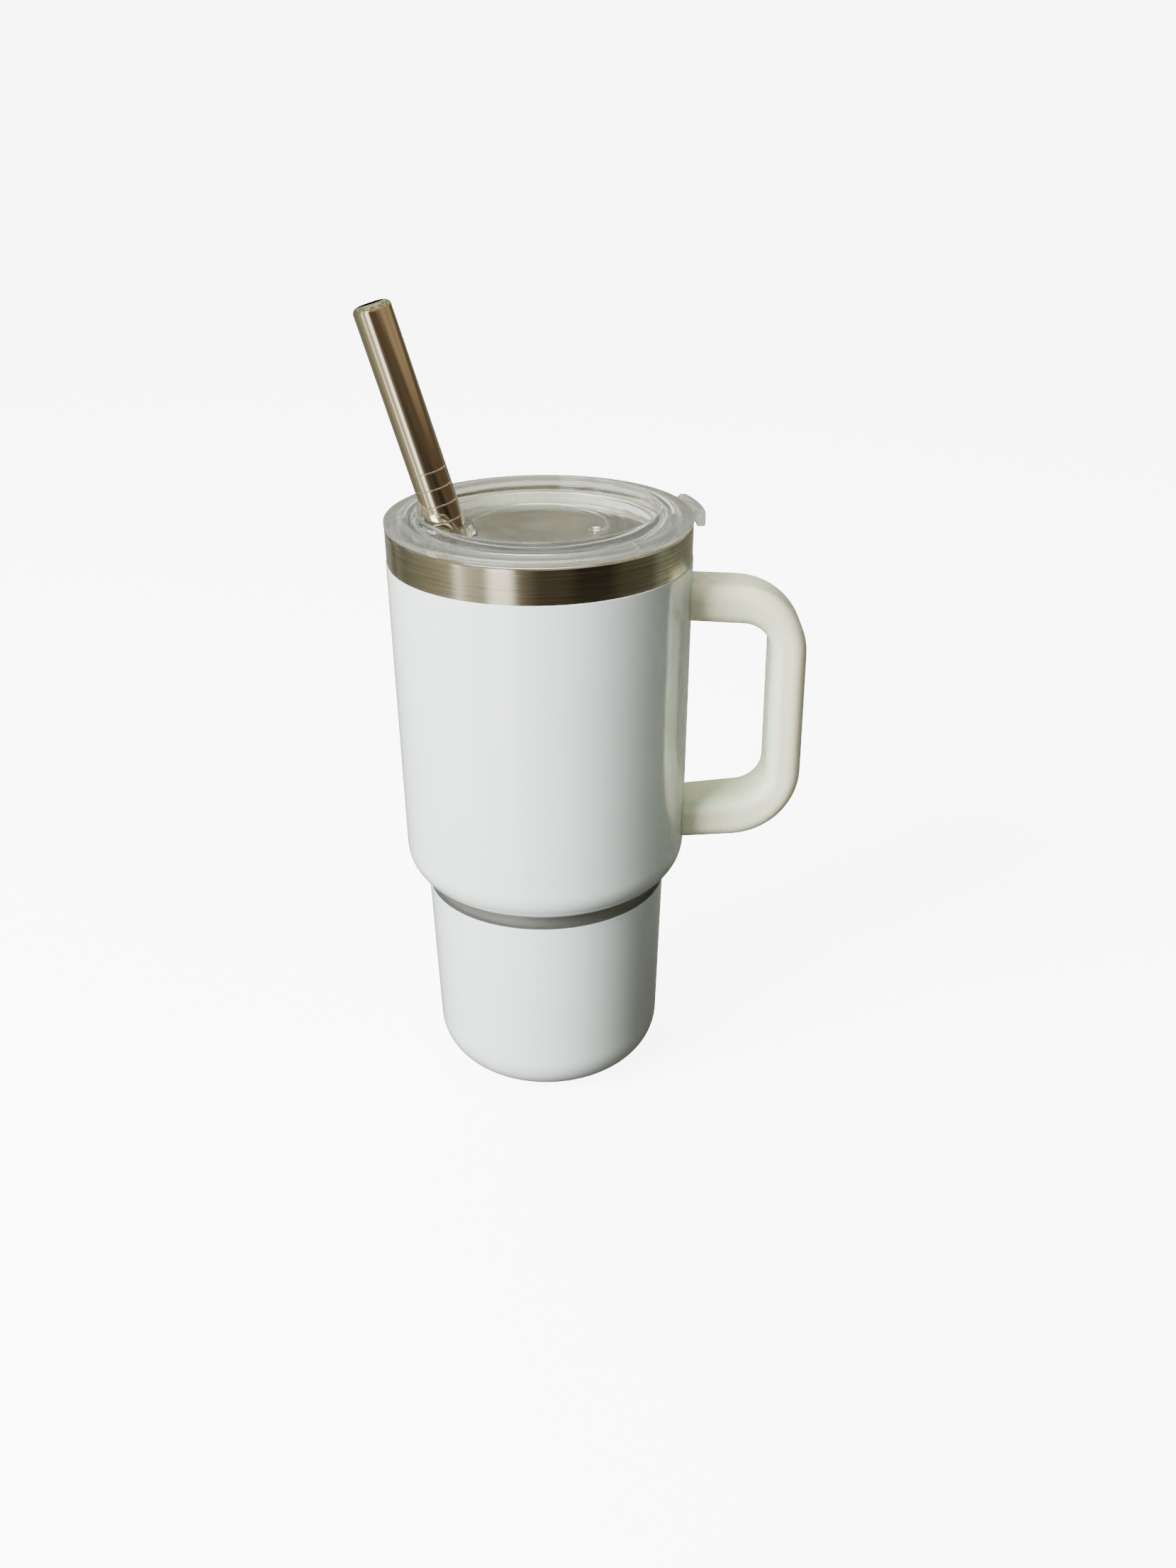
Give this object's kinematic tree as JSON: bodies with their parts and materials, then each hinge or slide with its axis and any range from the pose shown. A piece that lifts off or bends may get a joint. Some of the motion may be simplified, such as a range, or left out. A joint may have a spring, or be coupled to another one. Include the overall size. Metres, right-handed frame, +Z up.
{
  "type": "insulated tumbler with lid",
  "caption": "Small double-wall steel tumbler with a stepped body, D-shaped side handle, clear press-in lid and leaning metal straw.",
  "frame": {"origin": "centre of the flat resting face under the foot pad", "axes": "+Z up the cup's axis, +X towards the handle's grip, +Y to the far side when the handle is on the right"},
  "size_m": [0.0704, 0.0494, 0.1341],
  "materials": {
    "brushed_steel": "fine horizontal brushing",
    "liner_steel": "satin, turned",
    "lip_steel": "polished rolled lip",
    "white_paint": "glossy cool white",
    "copper_foil": "thin bright copper, sealed inside",
    "plain_steel": "plain pressed sheet",
    "seal_glass": "dark fused seal",
    "getter_metal": "sintered grey",
    "foot_silicone": "matt silicone",
    "screw_steel": "plain",
    "handle_plastic": "smooth warm white, satin gloss",
    "clear_plastic": "clear, polished",
    "seal_silicone": "translucent silicone",
    "polished_steel": "bright polished"
  },
  "bodies": {
    "cup": {"upper_shell": "brushed_steel", "lower_shell": "brushed_steel", "inner_liner": "liner_steel", "mouth_ring": "lip_steel", "coat_upper": "white_paint", "coat_lower": "white_paint", "copper_foil": "copper_foil", "vacuum_base": "plain_steel", "seal_plug": "seal_glass", "getter": "getter_metal", "getter_clip": "plain_steel", "base_cover": "plain_steel", "foot_pad": "foot_silicone", "upper_stud": "plain_steel", "lower_stud": "plain_steel", "upper_screw": "screw_steel", "lower_screw": "screw_steel", "handle_shell": "handle_plastic", "handle_inner_cover": "handle_plastic"},
    "lid_seal_ring": {"lid_seal": "seal_silicone"},
    "lid": {"lid_cap": "clear_plastic"},
    "straw": {"straw": "polished_steel"}
  },
  "joints": [
    {"name": "lid_lift", "type": "slide", "parent": "cup", "child": "lid_seal_ring", "axis": [0, 0, 1], "range_m": [0, 0.095]},
    {"name": "lid_turn", "type": "hinge", "parent": "lid_seal_ring", "child": "lid", "pos_m": [0, 0, 0.097], "axis": [0, 0, 1], "continuous": true},
    {"name": "straw_slide", "type": "slide", "parent": "lid", "child": "straw", "axis": [-0.2824, 0.0288, 0.9589], "range_m": [0, 0.085]}
  ]
}
